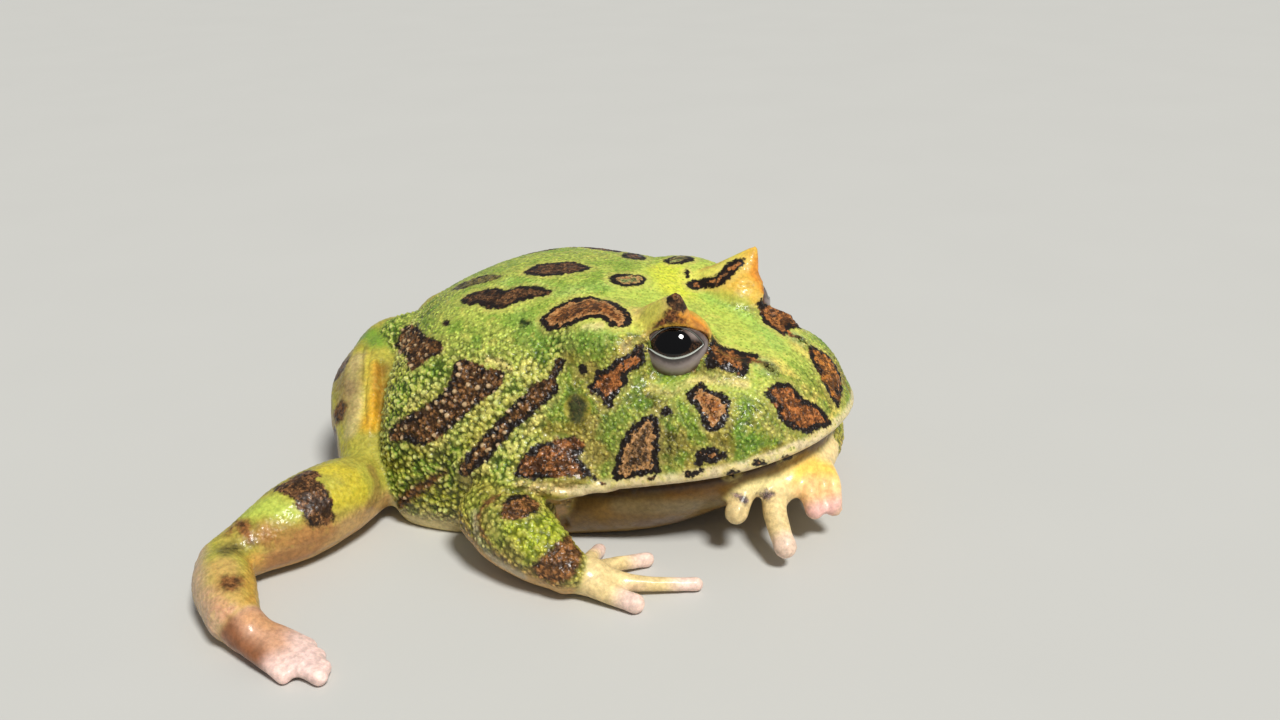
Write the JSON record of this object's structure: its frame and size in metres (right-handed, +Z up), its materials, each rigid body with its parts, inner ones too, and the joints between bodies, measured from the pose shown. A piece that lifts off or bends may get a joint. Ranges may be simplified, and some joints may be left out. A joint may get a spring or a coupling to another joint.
{
  "type": "argentine horned frog",
  "caption": "Plump horned frog at rest, still and life size: wide mouth, pointed eyelid horns, stubby fingers, webbed toes, one hind leg stretched to the side",
  "frame": {"origin": "on the floor under the middle of the belly, on the body's mid-plane; the belly rests there on its flat", "axes": "+Z is up, -Y is toward the snout, +X is the frog's left side"},
  "size_m": [0.1692, 0.1157, 0.0485],
  "materials": {
    "green_skin": "moist warty skin, bright green with brown blotches and yellow granules",
    "horn_skin": "moist orange and cream skin of the eyelid horn with a dark brown point",
    "pale_skin": "moist cream to yellow skin of throat, hands and feet with pinkish digit tips",
    "eye_dark": "wet dark olive brown eye with a black horizontal oval pupil"
  },
  "bodies": {
    "root": {"head": "green_skin", "lower_jaw": "pale_skin", "torso": "green_skin", "eye_right": "eye_dark", "eye_left": "eye_dark", "eyelid_horn_right": "horn_skin", "eyelid_horn_left": "horn_skin", "upper_arm_right": "green_skin", "upper_arm_left": "green_skin", "forearm_right": "green_skin", "forearm_left": "green_skin", "hand_right": "pale_skin", "hand_left": "pale_skin", "thigh_right": "green_skin", "thigh_left": "green_skin", "shank_right": "green_skin", "shank_left": "green_skin", "tarsus_right": "pale_skin", "tarsus_left": "pale_skin", "foot_right": "pale_skin", "foot_left": "pale_skin"}
  },
  "joints": []
}
